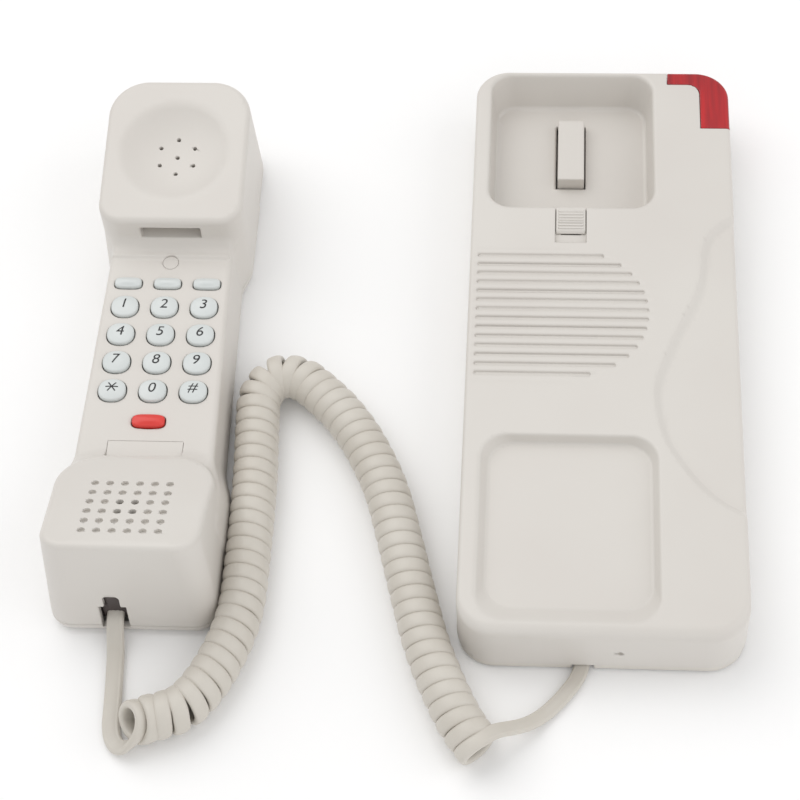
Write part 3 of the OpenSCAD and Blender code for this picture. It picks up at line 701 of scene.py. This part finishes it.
def ear_cup(x, y, z):
    """Ball that hollows out the ear face."""
    along, above = on_face(y, z, EAR_PLACE, EAR_TILT)
    ball = (CUP_D ** 2 / 4 + CUP_DEPTH ** 2) / (2 * CUP_DEPTH)
    return np.sqrt(x ** 2 + along ** 2 + (above - ball + CUP_DEPTH) ** 2) - ball


def ear_holes(x, y, z):
    """One sound hole and a ring of six."""
    along = on_face(y, z, EAR_PLACE, EAR_TILT)[0]
    holes = np.hypot(x, along)
    for k in range(6):
        turn = k * math.pi / 3
        hole = np.hypot(x - EAR_HOLE_RING * math.sin(turn), along - EAR_HOLE_RING * math.cos(turn))
        holes = np.minimum(holes, hole)
    return np.maximum(holes - EAR_HOLE_R, 24 - z)


def mic_holes(x, y, z):
    """Six by six blind holes; the middle four go right through."""
    along, above = on_face(y, z, MOUTH_PLACE, MOUTH_TILT)
    i = np.clip(np.round(x / MIC_HOLE_PITCH - 0.5), -3, 2) + 0.5
    j = np.clip(np.round(along / MIC_HOLE_PITCH - 0.5), -3, 2) + 0.5
    hole = np.hypot(x - i * MIC_HOLE_PITCH, along - j * MIC_HOLE_PITCH) - MIC_HOLE_R
    middle = (np.abs(i) < 1) & (np.abs(j) < 1)
    depth = np.where(middle, MIC_THROUGH_DEPTH, MIC_BLIND_DEPTH)
    return np.maximum(np.maximum(hole, -depth - above), above - 3)


def key_spots():
    """Every key: node, column's place, row's place, width, length, outline's power and its mark."""
    spots = []
    for row, names in enumerate((("star", "0", "hash"), "789", "456", "123")):
        for col, name in enumerate(names):
            spots.append((f"key_{name}", (col - 1) * COLUMN, KEY_0_Y + row * ROW, 8.3, 7.6, 2.3, name))
    for col, name in enumerate(("flash", "redial", "hold")):
        spots.append((f"key_{name}", (col - 1) * COLUMN, FUNCTION_Y, 8.3, 3.8, 3.4, ""))
    spots.append(("key_sos", 0, ALARM_Y, 9.8, 4.4, 3.4, ""))
    return spots


def key_holes(x, y, z):
    """Openings for every key, with a gap all round."""
    holes = None
    for _, cx, cy, width, length, power, _ in key_spots():
        hole = oval(x - cx, y - cy, width + KEY_GAP, length + KEY_GAP, power)
        holes = hole if holes is None else np.minimum(holes, hole)
    return np.maximum(np.maximum(holes, 14 - z), z - 26)


def jack_hole(x, y, z):
    """Opening for the cord's plug and, above it, for the plug's latch."""
    body = np.maximum(np.abs(x - JACK_X) - JACK_HALF_W, z - 13.4)
    latch = rounded_box(x - JACK_X, z - 11.4, 2.35, 6.6, 1.4)
    return np.maximum(np.minimum(body, latch), y - 9)


def seam(z):
    """Depth of the fine groove where the two shells of the handset meet."""
    return SEAM * np.exp(-((z - PART_Z) / SEAM) ** 2)


def handset_front_field(x, y, z):
    """The handset's front shell with all its openings."""
    solid = handset_body(x, y, z)
    solid = cut(solid, ear_cup(x, y, z), 0.8)
    catch = np.maximum(slot(x, y - CATCH_Y, 9.4, 4.4), np.abs(z - CATCH_Z) - CATCH_HALF_H)
    solid = cut(solid, catch, 0.3)
    shell = np.maximum(solid, -(solid + WALL))
    shell = np.maximum(shell, np.maximum(PART_Z - z, solid + seam(z)))
    shell = cut(shell, key_holes(x, y, z), 0.18)
    shell = cut(shell, ear_holes(x, y, z), 0.1)
    shell = cut(shell, mic_holes(x, y, z), 0.12)
    shell = cut(shell, jack_hole(x, y, z), 0.3)
    label = np.maximum(rounded_box(x, y - LABEL_Y, *LABEL_HALF, 0.3), GRIP_TOP - 0.4 - z)
    shell = cut(shell, label, 0.05)
    cover = np.maximum(np.hypot(x, y - COVER_Y) - 2.5, 20 - z)
    return cut(shell, cover, 0.15)


def handset_back_field(x, y, z):
    """The handset's back shell: a tray with two screw holes and the lower half of the cord's opening."""
    plan = handset_body(x, y, PART_Z + 0 * z)
    bottom = meet(plan + seam(z), 0.05 - z, 4)
    tray = np.maximum(bottom, -(bottom + WALL))
    tray = np.maximum(tray, z - PART_Z + 0.05)
    for px in (-17.8, 17.8):
        tray = np.maximum(tray, 2.9 - np.hypot(x - px, y - 168) - 9 * (z > 1.4))
    jack = np.maximum(np.maximum(np.abs(x - JACK_X) - JACK_HALF_W, y - 6), 3.9 - z)
    return cut(tray, jack, 0.2)


def cover_field(x, y, z):
    """Round plug that covers the screw over the keypad."""
    return np.maximum(meet(np.hypot(x, y - COVER_Y) - 2.46, z - 21.02, 0.25), 18.9 - z)


# ---- Keys ----

KEY_FOOT = 18.8
KEY_SHOULDER = 22.05
KEY_TOP = 22.62
KEY_EDGE = 0.6
KEY_SIDES = 48
GLYPH_H = 3.6
GLYPH_UP = 0.6
GLYPH_RISE = 0.05
LONGEST_SIDE = 0.5


def crown(share):
    """Height of a key's top, share running from 0 at its middle to 1 at its edge."""
    return KEY_TOP - (KEY_TOP - KEY_SHOULDER) * np.clip(share, 0, 1) ** 2


def key_mesh(cx, cy, width, length, power):
    """Points and faces of a key: straight sides, a rounded edge and a crowned top."""
    around = np.linspace(0, 2 * math.pi, KEY_SIDES, endpoint=False)
    u = np.sign(np.cos(around)) * np.abs(np.cos(around)) ** (2 / power)
    v = np.sign(np.sin(around)) * np.abs(np.sin(around)) ** (2 / power)
    bend = KEY_SHOULDER - KEY_EDGE
    profile = [(0, KEY_FOOT), (0, bend - 0.6), (0, bend)]
    for a in (20, 40, 60, 78):
        t = math.radians(a)
        profile.append((KEY_EDGE * (1 - math.cos(t)), bend + KEY_EDGE * math.sin(t)))
    rings = []
    for inset, z in profile:
        rings.append(np.stack([cx + u * (width / 2 - inset), cy + v * (length / 2 - inset),
                               np.full(KEY_SIDES, z)], 1))
    for share in (0.9, 0.75, 0.6, 0.45, 0.3, 0.15, 0.05):
        rings.append(np.stack([cx + u * (width / 2 - KEY_EDGE) * share,
                               cy + v * (length / 2 - KEY_EDGE) * share,
                               np.full(KEY_SIDES, crown(share))], 1))
    return np.concatenate(rings), tube_faces(len(rings), KEY_SIDES)


def split(points, faces):
    """Cuts triangles until no side is over LONGEST_SIDE, so that a mark can follow the key's crown."""
    points = [tuple(p) for p in points]
    todo, done = list(faces), []
    while todo:
        f = todo.pop()
        sides = [math.dist(points[f[k]], points[f[k - 2]]) for k in range(3)]
        k = sides.index(max(sides))
        if sides[k] < LONGEST_SIDE:
            done.append(f)
            continue
        a, b, c = f[k], f[k - 2], f[k - 1]
        points.append(tuple((p + q) / 2 for p, q in zip(points[a], points[b])))
        todo += [(a, len(points) - 1, c), (len(points) - 1, b, c)]
    return np.array(points), done


def glyph_mesh(mark):
    """Outline mesh of a digit or sign, centred, in millimetres."""
    if mark == "star":
        points, faces = [], []
        for turn in (0, math.radians(52), math.radians(-52)):
            along = np.array((math.cos(turn), math.sin(turn)))
            across = np.array((-along[1], along[0]))
            first = len(points)
            points += [s * 1.9 * along + t * 0.19 * across for s, t in ((-1, -1), (1, -1), (1, 1), (-1, 1))]
            faces += [(first, first + 1, first + 2), (first, first + 2, first + 3)]
        return split(np.array(points), faces)
    text = bpy.data.curves.new("glyph", "FONT")
    text.body = {"hash": "#"}.get(mark, mark)
    text.size = GLYPH_H * 1.38
    text.shear = 0.12
    text.resolution_u = 6
    holder = bpy.data.objects.new("glyph", text)
    mesh = holder.to_mesh()
    points = np.array([v.co[:2] for v in mesh.vertices])
    mesh.calc_loop_triangles()
    faces = [tuple(f.vertices) for f in mesh.loop_triangles]
    holder.to_mesh_clear()
    bpy.data.objects.remove(holder)
    bpy.data.curves.remove(text)
    return split(points - (points.min(0) + points.max(0)) / 2, faces)


def make_key(node, cx, cy, width, length, power, mark):
    """A key with its mark laid on the crown."""
    points, faces = key_mesh(cx, cy, width, length, power)
    body_faces = len(faces)
    if mark:
        flat, marks = glyph_mesh(mark)
        flat = flat + np.array((0, GLYPH_UP))
        top_w, top_l = width - 2 * KEY_EDGE, length - 2 * KEY_EDGE
        share = 1 + oval(flat[:, 0], flat[:, 1], top_w, top_l, power) / (top_l / 2)
        ink = np.stack([flat[:, 0] + cx, flat[:, 1] + cy, crown(share) + GLYPH_RISE], 1)
        faces += [tuple(i + len(points) for i in f) for f in marks]
        points = np.concatenate([points, ink])
    piece = new_object(node.replace("key_", "keycap_"), (points + np.array(HAND_ORIGIN)) * MM, faces)
    material, kind = (ALARM, "alarm_key") if node == "key_sos" else (KEY, "key")
    finish_piece(piece, material, node, [node])
    piece.data.materials.append(INK)
    for polygon in list(piece.data.polygons)[body_faces:]:
        polygon.material_index = 1
        polygon.use_smooth = False


# ---- Modular plugs ----

PLUG_W = 7.6
PLUG_H = 5.8
PLUG_L = 11


def plug_field(x, y, z):
    """Four-way plug lying along +Y from 0, with grooves for its contacts at the far end."""
    body = rounded_box(x, z, PLUG_W / 2, PLUG_H / 2, 0.4)
    body = meet(body, np.abs(y - PLUG_L / 2) - PLUG_L / 2, 0.3)
    mouth = meet(rounded_box(x, z + 0.2, 2.6, 1.5, 0.6), y - 4, 0.3)
    body = cut(body, mouth, 0.2)
    groove = np.abs(x - np.clip(np.round(x - 0.5), -2, 1) - 0.5) - 0.22
    contact = np.maximum(np.maximum(groove, 6.5 - y), z + PLUG_H / 2 - 1.1)
    return cut(body, contact, 0.05)


def boot_field(x, y, z):
    """Dark collar that fills the opening in front of the handset's plug."""
    low = np.maximum(np.abs(x) - 3.7, np.maximum(z - 3.4, -3.2 - z))
    high = rounded_box(x, z - 4.4, 2.05, 4.9, 1.2)
    return meet(np.minimum(low, high), np.abs(y + 1.7) - 2.4, 0.3)


def latch_field(x, y, z):
    """The springy latch on top of a plug."""
    rise = PLUG_H / 2 + 0.2 + 0.09 * (10 - y)
    bar = np.maximum(np.abs(x) - 1.5, np.abs(z - rise) - 0.35)
    return meet(bar, np.abs(y - 5.2) - 4.6, 0.2)


def handset_plug_field(x, y, z):
    return np.minimum(plug_field(x, y, z), np.minimum(latch_field(x, y, z), boot_field(x, y, z)))


def make_plug(name, node, body, field, material):
    low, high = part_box(node)
    origin = ((low.x + high.x) / 2 / MM, low.y / MM, low.z / MM + PLUG_H / 2)
    plug = mould(name, field, (-4.4, -4.6, -3.8), (4.4, 11.6, 9.8), 0.22, origin)
    finish_piece(plug, material, body, [node])
    return plug


# ---- Build the pieces ----


SHELL_STEP = 0.36
MOULDED = (
    ("base_shell", base_shell_field, (-42, -1, 2), (42, 207, 23.4), SHELL_STEP, BASE_ORIGIN,
     SHELL, "base", "shell", "base_front_shell"),
    ("lamp_lens", lens_field, (20, 180, 11), (42, 207, 23.2), 0.28, BASE_ORIGIN,
     LENS, "base", "lens", "message_lamp_lens"),
    ("retainer_tab", retainer_field, (-15.5, 137.5, 18.8), (-4, 150.5, 23), 0.16, BASE_ORIGIN,
     SHELL, "handset_retainer", "shell", "handset_retainer"),
    ("hook_paddle", paddle_field, (-15, 166.4, 5.6), (-4.6, 194, 14.2), 0.25, BASE_ORIGIN,
     SHELL, "hook_plunger", "shell", "hook_plunger"),
    ("handset_front", handset_front_field, (-25.6, -1, 4), (25.6, 184, 43.5), SHELL_STEP, HAND_ORIGIN,
     SHELL, "handset", "shell", "handset_front_shell"),
    ("handset_back", handset_back_field, (-25.6, -1, -0.8), (25.6, 184, 5.4), SHELL_STEP, HAND_ORIGIN,
     SHELL, "handset", "shell", "handset_back_shell"),
    ("screw_plug", cover_field, (-3.2, 115.4, 18.2), (3.2, 122, 21.8), 0.15, HAND_ORIGIN,
     SHELL, "handset", "shell", "screw_cover"),
)


def build():
    for name, field, low, high, step, origin, material, body, kind, node in MOULDED:
        finish_piece(mould(name, field, low, high, step, origin), material, body, [node])
    for spot in key_spots():
        make_key(*spot)
    hand_plug = make_plug("cord_plug_handset", "plug_handset", "handset", handset_plug_field, DARK)
    base_plug = make_plug("cord_plug_base", "plug_base", "base", plug_field, CLEAR)
    cord, line = make_cord()
    finish_piece(cord, CORD, None, ["cord_tail_handset", "cord_coil", "cord_tail_base"])
    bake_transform(cord)


CAD_LOOKS = {
    PLATE: ("base_back_plate",),
    SHELL: ("label_plate",),
    LAMP: ("message_lamp_led",),
    BOARD: ("base_circuit_board", "handset_circuit_board"),
    DARK: ("hook_switch", "ringer", "base_cord_jack", "line_jack", "handset_cord_jack", "ear_receiver"),
    STEEL: ("hook_spring", "base_screws", "handset_screws", "mic_capsule"),
    BALLAST: ("ballast_weight",),
    RUBBER: ("base_feet",),
    MEMBRANE: ("keypad_membrane",),
}
BEVELS = {"base_back_plate": 0.0007, "base_feet": 0.0003, "base_screws": 0.00012,
          "handset_screws": 0.00012, "line_jack": 0.0003, "ringer": 0.0003,
          "ballast_weight": 0.0004, "label_plate": 0.00008}


def dress_cad_nodes():
    """Materials and fine edges for the CAD nodes that show as they are."""
    for material, names in CAD_LOOKS.items():
        for name in names:
            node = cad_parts[name]
            for place in node.material_slots:
                place.material = material
            if name in BEVELS:
                weld = node.modifiers.new("weld", "WELD")
                weld.merge_threshold = 1e-6
                edge = node.modifiers.new("edge", "BEVEL")
                edge.width = BEVELS[name]
                edge.segments = 3
                edge.limit_method = "ANGLE"
                edge.angle_limit = math.radians(40)
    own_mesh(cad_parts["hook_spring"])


# ---- Floor and light ----


def make_floor():
    mesh = bpy.data.meshes.new("floor")
    mesh.from_pydata([(-4, -4, 0), (4, -4, 0), (4, 4, 0), (-4, 4, 0)], [], [(0, 1, 2, 3)])
    floor = bpy.data.objects.new("floor", mesh)
    bpy.context.scene.collection.objects.link(floor)
    floor.data.materials.append(plastic("floor_paper", (0.96, 0.96, 0.96), (0.98, 0.98, 0.98), 0.4,
                                        (0.85, 0.95), 0.002, 0.00001))


def lamp(name, place, aim, size, power, tint):
    """A square area light. Places in metres, power in watts."""
    data = bpy.data.lights.new(name, "AREA")
    data.size = size
    data.energy = power
    data.color = tint
    light = bpy.data.objects.new(name, data)
    light.location = place
    light.rotation_euler = (Vector(aim) - Vector(place)).to_track_quat("-Z", "Y").to_euler()
    bpy.context.scene.collection.objects.link(light)


def make_light():
    world = bpy.data.worlds.new("studio")
    world.use_nodes = True
    world.node_tree.nodes["Background"].inputs["Color"].default_value = (1, 1, 1, 1)
    world.node_tree.nodes["Background"].inputs["Strength"].default_value = 0.66
    bpy.context.scene.world = world
    lamp("key", (-0.6, 0.55, 1.2), (0, 0, 0), 1.5, 9.5, (1, 0.99, 0.98))
    lamp("fill", (1.1, -0.2, 0.7), (0, 0, 0), 1.4, 4, (0.99, 0.99, 1))
    lamp("front", (0.3, -1.3, 0.5), (0, -0.05, 0), 1.2, 2.2, (1, 1, 1))
    bpy.context.scene.view_settings.view_transform = "Standard"


build()
dress_cad_nodes()
make_floor()
make_light()
